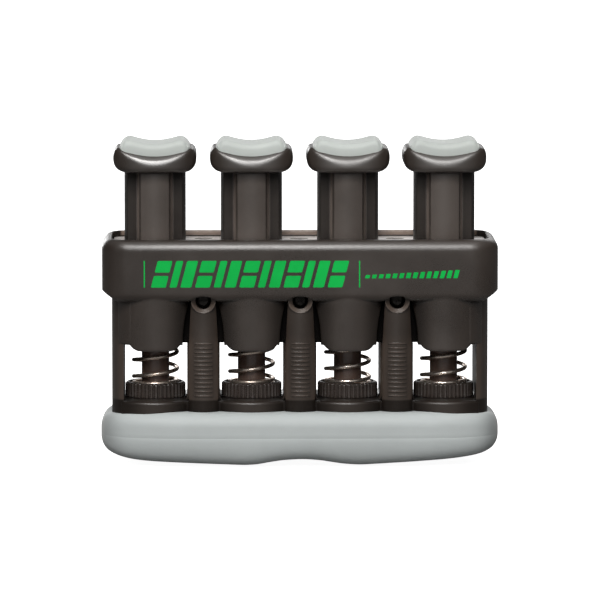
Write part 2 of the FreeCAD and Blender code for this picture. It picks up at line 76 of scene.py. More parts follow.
# ------------------------------------------------------------------ material helpers
class Mat:
    """A small node-graph builder round one Principled shader."""

    def __init__(self, name, color=(0.5, 0.5, 0.5), rough=0.5, metal=0.0, **sockets):
        self.m = bpy.data.materials.new(name)
        self.m.use_nodes = True
        self.t = self.m.node_tree
        self.t.nodes.clear()
        self.out = self.t.nodes.new("ShaderNodeOutputMaterial")
        self.p = self.t.nodes.new("ShaderNodeBsdfPrincipled")
        self.t.links.new(self.p.outputs[0], self.out.inputs[0])
        self.p.inputs["Base Color"].default_value = (*color, 1)
        self.p.inputs["Roughness"].default_value = rough
        self.p.inputs["Metallic"].default_value = metal
        for k, v in sockets.items():
            self.p.inputs[k.replace("_", " ")].default_value = v
        self.co = self.t.nodes.new("ShaderNodeTexCoord").outputs["Object"]

    def node(self, kind, inputs=None, **props):
        n = self.t.nodes.new(kind)
        for k, v in props.items():
            setattr(n, k, v)
        for k, v in (inputs or {}).items():
            self.put(n.inputs[k], v)
        return n

    def put(self, socket, v):
        if isinstance(v, bpy.types.NodeSocket):
            self.t.links.new(v, socket)
        else:
            socket.default_value = v

    def scaled(self, x, y, z, co=None):
        return self.node("ShaderNodeMapping", {"Vector": co or self.co, "Scale": (x, y, z)}).outputs[0]

    def noise(self, scale, detail=2.0, rough=0.5, co=None, distortion=0.0):
        n = self.node("ShaderNodeTexNoise", {"Vector": co or self.co, "Scale": scale, "Detail": detail,
                                             "Roughness": rough, "Distortion": distortion})
        return n.outputs["Fac"]

    def voronoi(self, scale, co=None, feature="F1"):
        n = self.node("ShaderNodeTexVoronoi", {"Vector": co or self.co, "Scale": scale}, feature=feature)
        return n.outputs["Distance"]

    def math(self, op, a, b=0.0, clamp=False):
        n = self.node("ShaderNodeMath", {0: a, 1: b}, operation=op, use_clamp=clamp)
        return n.outputs[0]

    def span(self, v, a, b, c, d, smooth=True):
        n = self.node("ShaderNodeMapRange", {"Value": v, "From Min": a, "From Max": b, "To Min": c, "To Max": d},
                      interpolation_type="SMOOTHSTEP" if smooth else "LINEAR", clamp=True)
        return n.outputs[0]

    def mix(self, f, a, b, blend="MIX"):
        n = self.node("ShaderNodeMix", data_type="RGBA", blend_type=blend)
        self.put(n.inputs["Factor"], f)
        for s, v in ((n.inputs[6], a), (n.inputs[7], b)):
            self.put(s, v if isinstance(v, bpy.types.NodeSocket) else (*v, 1))
        return n.outputs[2]

    def bump(self, height, dist, strength=1.0, normal=None):
        n = self.node("ShaderNodeBump", {"Height": height, "Distance": dist, "Strength": strength})
        if normal is not None:
            self.t.links.new(normal, n.inputs["Normal"])
        return n.outputs[0]

    def edge(self, radius, low=0.02, high=0.35):
        """1 on sharp convex or concave edges, 0 on flats, with the softened normal."""
        b = self.node("ShaderNodeBevel", {"Radius": radius}, samples=4)
        g = self.node("ShaderNodeNewGeometry")
        d = self.node("ShaderNodeVectorMath", {0: b.outputs[0], 1: g.outputs["Normal"]}, operation="DOT_PRODUCT")
        return self.span(d.outputs["Value"], 1 - low, 1 - high, 0.0, 1.0), b.outputs[0]

    def set(self, name, v):
        self.put(self.p.inputs[name], v)


def off_axis(k, shift):
    """Millimetres along x to the nearest plunger axis (shift 0) or column axis (shift 0.5)."""
    x = k.node("ShaderNodeSeparateXYZ", {0: k.co}).outputs[0]
    f = k.math("FRACT", k.math("ADD", k.math("MULTIPLY", x, 1 / (PITCH * MM)), 10 + shift))
    return k.math("MULTIPLY", k.math("ABSOLUTE", k.math("SUBTRACT", f, 0.5)), PITCH)


def along(k, axis):
    """The x, y or z coordinate in millimetres."""
    return k.math("MULTIPLY", k.node("ShaderNodeSeparateXYZ", {0: k.co}).outputs[axis], 1000.0)


def moulded(name, color, rough, grain_mm, grain_depth, edge_color, soft_mm=0.22, seed=0.0, gloss_flow=0.06, spec=0.5,
            crease_shade=(6.0, 0.10), tone=None, gloss=None):
    """Injection-moulded plastic: spark-eroded grain, slow colour drift, worn pale edges, fine scratches, painted shade
    in the creases and recesses.
    """
    k = Mat(name, color, rough)
    co = k.node("ShaderNodeMapping", {"Vector": k.co, "Location": (seed, seed * 0.7, -seed)}).outputs[0]
    slow = k.noise(55, 3, 0.55, co)
    mid = k.noise(420, 3, 0.6, co)
    grain = k.noise(1000 / grain_mm, 2, 0.65, co)
    pits = k.voronoi(700 / grain_mm, co)
    worn, soft = k.edge(soft_mm * MM)
    base = tuple(c * 0.86 for c in color), tuple(c * 1.16 for c in color)
    col = k.mix(k.span(slow, 0.32, 0.68, 0.0, 1.0), base[0], base[1])
    col = k.mix(k.math("MULTIPLY", k.span(mid, 0.35, 0.7, 0.0, 1.0), 0.25), col, tuple(c * 1.3 for c in color))
    wear = k.math("MULTIPLY", worn, k.span(k.noise(900, 3, 0.7, co), 0.38, 0.66, 0.15, 0.75), clamp=True)
    col = k.mix(wear, col, edge_color)
    # painted shade: ambient occlusion darkens the colour and the specular level in creases and recesses; the tone
    # function multiplies in further painted shade and highlights
    open_sky = k.node("ShaderNodeAmbientOcclusion", {"Distance": crease_shade[0] * MM}, samples=6).outputs["AO"]
    shade = k.span(open_sky, 0.20, 0.80, crease_shade[1], 1.0)
    if tone:
        shade = k.math("MULTIPLY", shade, tone(k))
    k.set("Specular IOR Level", k.math("MULTIPLY", k.math("MINIMUM", shade, 1.0), k.math("MULTIPLY", gloss(k), spec) if gloss else spec))
    col = k.mix(1.0, col, shade, "MULTIPLY")
    k.set("Base Color", col)
    r = k.span(slow, 0.3, 0.7, rough - gloss_flow, rough + gloss_flow)
    r = k.math("ADD", r, k.span(grain, 0.3, 0.7, -0.05, 0.05))
    r = k.math("SUBTRACT", r, k.math("MULTIPLY", wear, 0.08), clamp=True)
    # hairline scuffs
    fine = k.noise(260, 2, 0.5, k.scaled(1, 7, 0.35, co), 0.6)
    scuff = k.span(fine, 0.735, 0.76, 0.0, 1.0)
    r = k.math("SUBTRACT", r, k.math("MULTIPLY", scuff, 0.06), clamp=True)
    k.set("Roughness", r)
    h = k.math("ADD", k.math("MULTIPLY", grain, 0.75), k.math("MULTIPLY", pits, 0.35))
    n = k.bump(h, grain_depth * MM, 1.0, soft)
    n = k.bump(mid, 0.012 * MM, 0.6, n)
    k.set("Normal", n)
    return k


def rubber(name, color, rough, seed=0.0, grain_mm=0.32, depth=0.012, tone=None):
    """Soft moulded elastomer: matte bloom, light handling marks, faint mould texture, a little light inside."""
    k = Mat(name, color, rough)
    k.p.inputs["Subsurface Weight"].default_value = 0.12
    k.p.inputs["Subsurface Radius"].default_value = (0.9, 0.9, 1.0)
    k.p.inputs["Subsurface Scale"].default_value = 0.0012
    k.p.inputs["Sheen Weight"].default_value = 0.18
    k.p.inputs["Sheen Roughness"].default_value = 0.5
    k.p.inputs["IOR"].default_value = 1.45
    co = k.node("ShaderNodeMapping", {"Vector": k.co, "Location": (seed, -seed, seed * 0.4)}).outputs[0]
    slow = k.noise(38, 4, 0.55, co)
    mid = k.noise(300, 4, 0.6, co)
    fine = k.noise(1000 / grain_mm, 3, 0.6, co)
    dust = k.span(k.noise(1500, 2, 0.5, co), 0.70, 0.78, 0.0, 1.0)
    col = k.mix(k.span(slow, 0.3, 0.7, 0, 1), tuple(c * 0.95 for c in color), tuple(min(c * 1.045, 1) for c in color))
    col = k.mix(k.math("MULTIPLY", k.span(mid, 0.4, 0.7, 0, 1), 0.22), col, tuple(c * 0.92 for c in color))
    col = k.mix(k.math("MULTIPLY", dust, 0.10), col, tuple(c * 0.70 for c in color))
    # painted shade from the tone function darkens the colour
    if tone:
        col = k.mix(1.0, col, tone(k), "MULTIPLY")
    k.set("Base Color", col)
    k.set("Roughness", k.math("ADD", k.span(slow, 0.3, 0.7, rough - 0.05, rough + 0.06), k.span(fine, 0.3, 0.7, -0.05, 0.05)))
    n = k.bump(fine, depth * MM, 1.0)
    n = k.bump(mid, 0.02 * MM, 0.5, n)
    k.set("Normal", n)
    return k


def pad_end_shade(k):
    """Painted shade: the bar darkens towards its ends."""
    return k.span(k.math("ABSOLUTE", along(k, 0)), 36.5, 42.0, 1.0, 0.72)


def cap_gloss(k):
    """Rubbed shiny under the finger, duller on the ears."""
    return k.span(off_axis(k, 0.0), 3.5, 7.4, 1.4, 0.45)


def stem_shade_and_highlight(k):
    """Painted shade darkens the wings; a painted highlight lightens the steps beside the middle rib."""
    d = off_axis(k, 0.0)
    wing = k.span(d, 3.72, 4.1, 1.0, 0.36)
    step = k.math("MULTIPLY", k.span(d, 3.25, 3.4, 0.0, 1.0), k.span(d, 3.68, 3.8, 1.0, 0.0))
    return k.math("ADD", wing, k.math("MULTIPLY", step, 2.0))


def frame_shade_and_highlights(k):
    """Painted shade on the foot between the collars, painted light over the ribbed lower columns and their edges,
    painted highlights on the screw rings and the rib crests.
    """
    d, c, y, z = off_axis(k, 0.0), off_axis(k, 0.5), k.math("ABSOLUTE", along(k, 1)), along(k, 2)
    # painted shade on the foot: darker away from each wheel's axis
    collar = k.span(d, 1.0, 6.0, 0.95, 0.45)
    foot = k.span(z, 14.0, 14.5, 0.0, 1.0)
    # painted light over the ribbed lower columns and towards the column edges
    rise = k.math("MULTIPLY", k.span(z, 25.5, 28.5, 1.4, 1.0), k.span(c, 1.9, 3.1, 1.0, 1.5))
    low = k.math("ADD", k.math("MULTIPLY", foot, k.math("SUBTRACT", rise, collar)), collar)
    # painted highlight on the screw rings
    r = k.math("SQRT", k.math("ADD", k.math("POWER", c, 2.0), k.math("POWER", k.math("SUBTRACT", z, 35.15), 2.0)))
    ring = k.math("MULTIPLY", k.span(r, 1.62, 1.8, 0.0, 1.0), k.span(r, 2.45, 2.6, 1.0, 0.0))
    ring = k.math("MULTIPLY", ring, k.span(y, 11.3, 11.6, 0.0, 1.0))
    # painted highlight along the crests of the grip ribs
    f = k.math("FRACT", k.math("ADD", k.math("DIVIDE", k.math("SUBTRACT", z, 15.2), 11.0 / 12), 100.5))
    crest = k.span(k.math("ABSOLUTE", k.math("SUBTRACT", f, 0.5)), 0.08, 0.20, 1.0, 0.0)
    crest = k.math("MULTIPLY", crest, k.math("MULTIPLY", k.span(c, 0.6, 2.0, 1.0, 0.0), k.span(z, 26.4, 26.6, 1.0, 0.0)))
    crest = k.math("MULTIPLY", crest, k.math("MULTIPLY", k.span(z, 14.9, 15.05, 0.0, 1.0), k.span(y, 11.0, 11.3, 0.0, 1.0)))
    return k.math("ADD", k.math("ADD", low, k.math("MULTIPLY", ring, 1.5)), k.math("MULTIPLY", crest, 1.1))


def housing_reflection_and_shade(k):
    """Painted reflection lightens the inside of the back rim; painted shade darkens the lobes towards the columns and
    the left end of the band.
    """
    y, z = along(k, 1), along(k, 2)
    ny = k.node("ShaderNodeSeparateXYZ", {0: k.node("ShaderNodeNewGeometry").outputs["Normal"]}).outputs[1]
    # painted reflection on the inside of the back rim
    rim_reflection = k.math("MULTIPLY", k.span(y, 10.9, 11.3, 0.0, 1.0), k.span(z, 46.9, 47.1, 0.0, 1.0))
    rim_reflection = k.math("MULTIPLY", rim_reflection, k.span(ny, -0.35, -0.7, 0.0, 1.0))
    # painted shade: the lobes darken towards the columns
    c, x = off_axis(k, 0.5), k.math("ABSOLUTE", along(k, 0))
    flank = k.math("MULTIPLY", k.span(c, 4.2, 8.2, 0.55, 0.0), k.span(x, 28.0, 31.0, 1.0, 0.0))
    flank = k.math("MULTIPLY", flank, k.span(z, 34.2, 35.6, 1.0, 0.0))
    # painted shade towards the left end of the band
    left = k.math("MULTIPLY", k.span(along(k, 0), -38.0, -22.0, 0.2, 0.0), k.span(z, 35.0, 36.0, 0.0, 1.0))
    return k.math("SUBTRACT", k.math("SUBTRACT", k.math("ADD", k.math("MULTIPLY", rim_reflection, 12.0), 1.0), flank), left)


DARK = (0.0290, 0.0213, 0.0168)
mat_housing = moulded("housing_plastic", DARK, 0.35, 0.16, 0.010, (0.075, 0.065, 0.057), 0.8, 0.11, spec=0.9, crease_shade=(6.0, 0.22), tone=housing_reflection_and_shade)
mat_frame = moulded("frame_plastic", DARK, 0.38, 0.16, 0.010, (0.075, 0.065, 0.057), 0.16, 0.37, spec=0.6, crease_shade=(5.0, 0.32), tone=frame_shade_and_highlights)
mat_stem = moulded("stem_plastic", (0.067, 0.055, 0.048), 0.40, 0.13, 0.006, (0.12, 0.105, 0.095), 0.16, 0.61, spec=0.7, crease_shade=(3.5, 0.35),
                   tone=stem_shade_and_highlight)
mat_cap = moulded("cap_plastic", (0.028, 0.0215, 0.0175), 0.37, 0.13, 0.005, (0.05, 0.043, 0.038), 0.20, 0.83, spec=1.0, crease_shade=(3.0, 0.30),
                  gloss=cap_gloss)
mat_plate = moulded("plate_plastic", (0.62, 0.585, 0.56), 0.30, 0.2, 0.008, (0.60, 0.565, 0.54), 0.15, 0.29, spec=1.0, crease_shade=(4.0, 0.30))
mat_palm = rubber("palm_rubber", (0.475, 0.512, 0.514), 0.62, 0.2, tone=pad_end_shade)
mat_finger = rubber("finger_rubber", (0.50, 0.537, 0.517), 0.64, 0.9, 0.28, 0.009)

# glossy black moulding for the wheels and posts
mat_wheel = moulded("wheel_plastic", (0.040, 0.0305, 0.026), 0.26, 0.10, 0.0035, (0.20, 0.165, 0.14), 0.14, 0.47, 0.05, 1.0, (0.8, 0.15))
mat_post = moulded("post_plastic", (0.175, 0.116, 0.093), 0.30, 0.12, 0.003, (0.185, 0.126, 0.103), 0.12, 0.53, 0.05, 0.9, (1.2, 0.7))


def metal(name, color, rough, scratch=(1, 1, 1), tint=None, depth=0.004, seed=0.0, shine=1.0):
    """Drawn or machined steel: directional scratches, uneven heat tint, small pits."""
    k = Mat(name, color, rough, shine)
    co = k.node("ShaderNodeMapping", {"Vector": k.co, "Location": (seed, seed, seed)}).outputs[0]
    slow = k.noise(160, 3, 0.6, co)
    lines = k.noise(2400, 3, 0.6, k.scaled(*scratch, co))
    col = k.mix(k.span(slow, 0.35, 0.65, 0, 1), color, tint or tuple(c * 0.8 for c in color))
    pit = k.span(k.noise(5200, 2, 0.5, co), 0.70, 0.78, 0, 1)
    col = k.mix(k.math("MULTIPLY", pit, 0.35), col, tuple(c * 0.35 for c in color))
    k.set("Base Color", col)
    r = k.math("ADD", k.span(slow, 0.3, 0.7, rough - 0.05, rough + 0.07), k.span(lines, 0.3, 0.7, -0.05, 0.07))
    k.set("Roughness", r)
    k.set("Normal", k.bump(lines, depth * MM, 0.7))
    return k


mat_spring = metal("spring_steel", (0.98, 0.87, 0.78), 0.25, (1, 1, 9), (0.92, 0.78, 0.67), shine=0.92)
mat_seat = metal("seat_steel", (0.38, 0.36, 0.345), 0.34, (1, 1, 1), (0.30, 0.28, 0.27), seed=0.3)
mat_screw = metal("screw_steel", (0.03, 0.028, 0.027), 0.42, (1, 1, 1), (0.045, 0.042, 0.04), seed=0.6)


def dress(node, k):
    o = nodes[node]
    o.data.materials.clear()
    o.data.materials.append(k.m)


dress("housing", mat_housing)
dress("frame", mat_frame)
dress("guide_plate", mat_plate)
dress("guide_plate_screws", mat_screw)
dress("column_screws", mat_screw)
for n in range(1, 5):
    dress("plunger_%d" % n, mat_stem)
    dress("cap_screw_%d" % n, mat_screw)
    dress("adjuster_wheel_%d" % n, mat_wheel)
    dress("spring_seat_%d" % n, mat_seat)
    dress("guide_post_%d" % n, mat_post)


# ------------------------------------------------------------------ mesh helpers
def make(name, verts, faces, k, smooth=True):
    """verts in millimetres."""
    me = bpy.data.meshes.new(name)
    me.from_pydata([tuple(c * MM for c in v) for v in verts], [], faces)
    me.validate()
    if smooth:
        me.polygons.foreach_set("use_smooth", [True] * len(me.polygons))
    me.materials.append(k.m)
    o = bpy.data.objects.new(name, me)
    scene.collection.objects.link(o)
    return o


def curve(points):
    """Monotone cubic through (x, y) points."""
    xs, ys = np.array(points, float).T
    h, d = np.diff(xs), np.diff(ys) / np.diff(xs)
    m = np.zeros(len(xs))
    m[0], m[-1] = d[0], d[-1]
    for i in range(1, len(xs) - 1):
        if d[i - 1] * d[i] > 0:
            w1, w2 = 2 * h[i] + h[i - 1], h[i] + 2 * h[i - 1]
            m[i] = (w1 + w2) / (w1 / d[i - 1] + w2 / d[i])

    def f(x):
        x = np.clip(np.asarray(x, float), xs[0], xs[-1])
        i = np.clip(np.searchsorted(xs, x, side="right") - 1, 0, len(xs) - 2)
        t = (x - xs[i]) / h[i]
        return ((2 * t**3 - 3 * t**2 + 1) * ys[i] + (t**3 - 2 * t**2 + t) * h[i] * m[i]
                + (-2 * t**3 + 3 * t**2) * ys[i + 1] + (t**3 - t**2) * h[i] * m[i + 1])

    return f


# ------------------------------------------------------------------ palm pad
def carved(o, cutter):
    """Takes one closed shape out of another and drops the cutter."""
    mod = o.modifiers.new("carve", "BOOLEAN")
    mod.operation, mod.solver, mod.object = "DIFFERENCE", "EXACT", cutter
    dg = bpy.context.evaluated_depsgraph_get()
    dg.update()
    me = bpy.data.meshes.new_from_object(o.evaluated_get(dg), preserve_all_data_layers=True, depsgraph=dg)
    o.modifiers.clear()
    o.data = me
    bpy.data.objects.remove(cutter, do_unlink=True)


def prism(name, outline, z0, z1):
    n = len(outline)
    verts = [(x, y, z0) for x, y in outline] + [(x, y, z1) for x, y in outline]
    faces = [tuple(range(n))[::-1], tuple(range(n, 2 * n))]
    faces += [(i, (i + 1) % n, n + (i + 1) % n, n + i) for i in range(n)]
    return make(name, verts, faces, mat_palm, smooth=False)


def base_front(x):
    """How far the frame's base reaches in front of the middle at x: a rounded bar with convex collars and column feet."""
    a = abs(x)
    w, d, r = 39.66, 11.66, 6.56
    if a > w:
        return 0.0
    y = d - r + math.sqrt(max(0.0, r * r - max(0.0, a - w + r) ** 2))
    if a < 37.05:
        y = min(y, 10.36)
    for f in FX:
        if abs(x - f) < 7.06:
            y = max(y, 1.0 + math.sqrt(11.46**2 - (x - f) ** 2))
    for c in (-PITCH, 0.0, PITCH):
        if abs(x - c) < 3.16:
            y = max(y, 8.1 + math.sqrt(4.06**2 - (x - c) ** 2))
    return y


PART_Z = 6.5                                         # mould parting line


def palm_pad():
    """A rounded rubber bar lofted along its length, with blended ends, a shallow arch beneath and a recess for the frame."""
    half, rings = 41.97, 168
    low = curve([(-42, 5.4), (-41.6, 4.0), (-41.0, 3.05), (-40.1, 2.4), (-37.8, 1.55), (-35.0, 1.05), (-31.8, 0.78), (-28.5, 0.62),
                 (-22, 0.36), (-16, 0.14), (-11.5, 0.0), (-9.5, 0.10), (-6.4, 0.60), (-3.2, 1.05), (0.4, 1.22), (4.0, 1.0),
                 (6.3, 0.66), (9.5, 0.22), (12.6, 0.06), (15.8, 0.20), (19, 0.38), (22.1, 0.55), (25.3, 0.76), (28.5, 0.97),
                 (31.6, 1.2), (34.8, 1.52), (38, 2.05), (40.2, 2.9), (41.1, 3.6), (41.6, 4.4), (42, 5.6)])
    high = curve([(-42, 7.9), (-41.7, 9.2), (-41.2, 10.1), (-40.5, 10.75), (-39.7, 11.12), (-38.0, 11.45), (-35.0, 11.72), (-30, 11.76),
                  (30, 11.76), (35.0, 11.72), (38.0, 11.45), (39.7, 11.12), (40.5, 10.75), (41.2, 10.1), (41.7, 9.2), (42, 7.9)])
    verts, faces = [], []

    def section(x):
        s = min(1.0, abs(x) / 42.0)
        d = 15.0 * (1 - s**6.4) ** (1 / 2.7)
        top, low_z = float(high(x)), float(low(x))
        seam = min(max(PART_Z, low_z + 0.5), top - 0.6)
        rt = min(3.0, d * 0.6, (top - seam) * 0.9)
        belly = 0.48 * min(1.0, (seam - low_z) / 5.0)
        rl = seam - 0.16 - low_z - belly
        ry = min(5.0, d * 0.75)
        pts = [(-(d - rt) * k / 7, top) for k in range(7)]
        for k in range(13):
            a = math.radians(90 * k / 12)
            pts.append((-(d - rt) - rt * math.sin(a) ** 0.95, top - rt * (1 - math.cos(a) ** 0.95)))
        z_up = top - rt
        pts += [(-d, z_up + (seam + 0.16 - z_up) * k / 3) for k in (1, 2, 3)]
        pts += [(-d + 0.02, seam + 0.07), (-d + 0.035, seam), (-d + 0.02, seam - 0.07)]
        for k in range(15):
            a = math.radians(90 * k / 14)
            pts.append((-(d - ry) - ry * math.cos(a) ** 0.62, low_z + belly + rl * (1 - math.sin(a) ** 0.92)))
        pts += [(-(d - ry) * (1 - k / 8), low_z + belly * (1 - k / 8) ** 2) for k in range(1, 9)]
        return pts + [(-y, z) for y, z in pts[-2:0:-1]]

    for i in range(rings):
        u = -1 + 2 * (i + 0.5) / rings
        a = math.sin(u * math.pi / 2)
        x = half * math.copysign(abs(a) ** 0.94, a)
        row = section(x)
        around = len(row)
        verts += [(x, y, z) for y, z in row]
    for i in range(rings - 1):
        for j in range(around):
            a, b = i * around + j, i * around + (j + 1) % around
            faces.append((a, b, b + around, a + around))
    for i, order in ((0, 1), (rings - 1, -1)):
        ring = [i * around + j for j in range(around)]
        cx = verts[ring[0]][0]
        cz = sum(verts[k][2] for k in ring) / around
        verts.append((math.copysign(half + 0.02, cx), 0, cz))
        c = len(verts) - 1
        for j in range(around):
            a, b = ring[j], ring[(j + 1) % around]
            faces.append((c, b, a) if order > 0 else (c, a, b))
    o = make("palm_pad_soft", verts, faces, mat_palm)
    xs = sorted(set([-39.66 + 79.32 * k / 400 for k in range(401)] + [c + t for c in FX for t in (-7.059, 7.059, -7.061, 7.061)]))
    xs = [x for x in xs if abs(x) < 39.655]
    edge = [(x, -base_front(x)) for x in xs] + [(x, base_front(x)) for x in reversed(xs)]
    carved(o, prism("recess", edge, 11.0, 14.0))
    for f in FX:
        circle = [(f + 6.36 * math.cos(2 * math.pi * k / 72), 6.36 * math.sin(2 * math.pi * k / 72)) for k in range(72)]
        carved(o, prism("boss_hole", circle, 3.1, 14.0))
    o.data.set_sharp_from_angle(angle=math.radians(38))
    return o


pad = palm_pad()
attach(pad, "root")
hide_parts("palm_pad")


# ------------------------------------------------------------------ finger pads
def finger_pad(n):
    """A soft saddle on the cap's saddle: rolled crests at the sides, a small radius along the front and back edges."""
    x0 = FX[n - 1]
    nu, nv = 72, 60
    hw, hd = 7.38, 7.62
    depth = 1.6
    r_cap = (7.45**2 + depth**2) / (2 * depth)
    lip = 1.3                                        # radius of the front and back edges

    def under(x):
        return 65.4 + 0.04 + r_cap - math.sqrt(r_cap * r_cap - x * x)

    side = [(0.0, 67.78), (1.5, 67.86), (3.0, 68.12), (4.2, 68.42), (5.0, 68.62), (5.5, 68.66), (6.0, 68.55), (6.5, 68.24),
            (6.9, 67.85), (7.2, 67.40), (7.4, 67.02)]
    top = curve([(-x, z) for x, z in side[:0:-1]] + side)
    verts, faces = [], []

    def plan(u, v):
        """u, v in -1..1: a square grid pulled into a rectangle with blunt corners."""
        x, y = u * hw, v * hd
        r = 1.5
        ex, ey = max(0.0, abs(x) - (hw - r)), max(0.0, abs(y) - (hd - r))
        m = max(ex, ey)
        if m > 0 and ex > 0 and ey > 0:
            k = m / math.hypot(ex, ey)
            x = math.copysign(hw - r + ex * k, x)
            y = math.copysign(hd - r + ey * k, y)
        return x, y

    grid = {}
    us = [math.sin((-1 + 2 * i / nu) * math.pi / 2) for i in range(nu + 1)]
    vs = [math.copysign(1 - (1 - abs(t)) ** 1.9, t) for t in (-1 + 2 * j / nv for j in range(nv + 1))]
    for i, u in enumerate(us):
        for j, v in enumerate(vs):
            x, y = plan(u, v)
            b = under(x)
            e = max(0.0, (abs(v) * hd - (hd - lip)) / lip)
            fall = lip * (1 - math.sqrt(max(0.0, 1 - min(e, 1.0) ** 2)))
            t = float(top(x))
            # a shallow valley along the middle, where a finger rests
            t -= fall * min(1.0, (t - b) / 1.4)
            grid[i, j, 2] = len(verts)
            verts.append((x0 + x, y, max(t, b + 0.10)))
            grid[i, j, 0] = len(verts)
            xi, yi = plan(u * 0.992, v * 0.992)
            verts.append((x0 + xi, yi, under(xi) - 0.6))
    for i in range(nu):
        for j in range(nv):
            faces.append((grid[i, j, 2], grid[i + 1, j, 2], grid[i + 1, j + 1, 2], grid[i, j + 1, 2]))
            faces.append((grid[i, j, 0], grid[i, j + 1, 0], grid[i + 1, j + 1, 0], grid[i + 1, j, 0]))
    rim = [(i, 0) for i in range(nu)] + [(nu, j) for j in range(nv)] + [(i, nv) for i in range(nu, 0, -1)] + [(0, j) for j in range(nv, 0, -1)]
    mid = {}
    for i, j in rim:
        a, b = verts[grid[i, j, 0]], verts[grid[i, j, 2]]
        mid[i, j] = len(verts)
        # the wall bellies out a touch
        verts.append((x0 + (b[0] - x0) * 1.004, b[1] * 1.004, (a[2] * 0.45 + b[2] * 0.55)))
    for p, q in zip(rim, rim[1:] + rim[:1]):
        faces.append((grid[(*p, 0)], grid[(*q, 0)], mid[q], mid[p]))
        faces.append((mid[p], mid[q], grid[(*q, 2)], grid[(*p, 2)]))
    o = make("finger_pad_soft_%d" % n, verts, faces, mat_finger)
    o.data.set_sharp_from_angle(angle=math.radians(70))
    return o


for n in range(1, 5):
    o = finger_pad(n)
    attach(o, "plunger_%d" % n)
    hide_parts("finger_pad_%d" % n)


# ------------------------------------------------------------------ caps
def cap_shell(n):
    """The plunger's cap: a rolled bar with a saddle between two ears, drawn as a cage and subdivided."""
    x0 = FX[n - 1]
    half = [(0.0, 61.64), (2.6, 61.64), (5.0, 61.64), (7.15, 61.76), (8.62, 63.0), (8.84, 64.8), (8.62, 66.45), (7.74, 67.28),
            (6.3, 66.80), (4.4, 66.15), (2.2, 65.72), (0.0, 65.58)]
    # where each of those points ends up on the small flat of the rolled ends
    flat = [(0.0, 62.75), (2.4, 62.75), (4.4, 62.85), (6.2, 63.1), (6.55, 63.4), (6.7, 64.2), (6.6, 64.6), (6.2, 64.7),
            (5.2, 64.3), (3.9, 63.8), (2.1, 63.2), (0.0, 63.0)]
    ring = half + [(-x, z) for x, z in half[-2:0:-1]]
    flat = flat + [(-x, z) for x, z in flat[-2:0:-1]]
    count = len(ring)

    def inset(i, by):
        (ax, az), (bx, bz) = ring[i], flat[i]
        return ax + (bx - ax) * by, az + (bz - az) * by

    slices = [(-8.98, 1.0), (-8.90, 0.727), (-8.66, 0.477), (-8.2, 0.267), (-7.4, 0.093), (-6.2, 0.012), (-4.2, 0.0), (0.0, 0.0)]
    slices += [(-y, by) for y, by in slices[-2::-1]]
    verts, faces = [], []
    for y, by in slices:
        for i in range(count):
            x, z = inset(i, by)
            bulge = 0.18 * min(1.0, max(0.0, (abs(y) - 5.0) / 3.9)) * (x / 8.7) ** 2
            verts.append((x0 + x * (1 - 0.012 * max(0.0, abs(y) - 6.5)), y * (1 - bulge), z))
    for k in range(len(slices) - 1):
        for i in range(count):
            j = (i + 1) % count
            faces.append((k * count + i, k * count + j, (k + 1) * count + j, (k + 1) * count + i))
    last = (len(slices) - 1) * count
    for base, flip in ((0, False), (last, True)):
        for side in (1, -1):
            for k in range(5):
                a, b, c, d = k, k + 1, 10 - k, 11 - k
                quad = [base + (v * side) % count for v in ((a, b, c, d) if k < 5 else (a, b, c))]
                if (side < 0) != flip:
                    quad.reverse()
                faces.append(tuple(quad[::-1]))
    o = make("cap_shell_%d" % n, verts, faces, mat_cap)
    bm = bmesh.new()
    bm.from_mesh(o.data)
    bmesh.ops.recalc_face_normals(bm, faces=bm.faces)
    bm.to_mesh(o.data)
    bm.free()
    sub = o.modifiers.new("round", "SUBSURF")
    sub.levels = sub.render_levels = 3
    return o


for n in range(1, 5):
    o = cap_shell(n)
    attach(o, "plunger_%d" % n)
    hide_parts("cap_%d" % n)


# ------------------------------------------------------------------ joint between the end walls and the end lobes
def end_webs():
    """Thin concave webs over the joints between the outer lobes and the end walls."""
    verts, faces = [], []
    rows, cols = 18, 14
    for sx in (-1, 1):
        for sy in (-1, 1):
            base = len(verts)
            for layer in (0, 1):
                for i in range(rows + 1):
                    z = 26.05 + (35.04 - 26.05) * i / rows
                    for j in range(cols + 1):
                        t = j / cols
                        a = 38.5 - 3.2 * t
                        wall = 5.1 + math.sqrt(6.5**2 - (a - 33.1) ** 2)
                        lobe = 4.9 + math.sqrt(8.4**2 - (a - 30.495) ** 2)
                        y = (wall + lobe + math.sqrt((wall - lobe) ** 2 + 0.45**2)) / 2
                        y += -0.16 + 0.20 * math.sin(math.pi * t) ** 0.5
                        verts.append((sx * a, sy * (y - 0.35 * layer), z))
            size = (rows + 1) * (cols + 1)
            grid = lambda layer, i, j: base + layer * size + i * (cols + 1) + j
            part = []
            for i in range(rows):
                for j in range(cols):
                    part.append((grid(0, i, j), grid(0, i, j + 1), grid(0, i + 1, j + 1), grid(0, i + 1, j)))
                    part.append((grid(1, i, j), grid(1, i + 1, j), grid(1, i + 1, j + 1), grid(1, i, j + 1)))
            edge = [(0, j) for j in range(cols)] + [(i, cols) for i in range(rows)]
            edge += [(rows, j) for j in range(cols, 0, -1)] + [(i, 0) for i in range(rows, 0, -1)]
            for p, q in zip(edge, edge[1:] + edge[:1]):
                part.append((grid(0, *p), grid(1, *p), grid(1, *q), grid(0, *q)))
            faces += part
    o = make("end_webs", verts, faces, mat_housing)
    bm = bmesh.new()
    bm.from_mesh(o.data)
    bmesh.ops.recalc_face_normals(bm, faces=bm.faces)
    bm.to_mesh(o.data)
    bm.free()
    o.data.set_sharp_from_angle(angle=math.radians(50))
    return o


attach(end_webs(), "root")


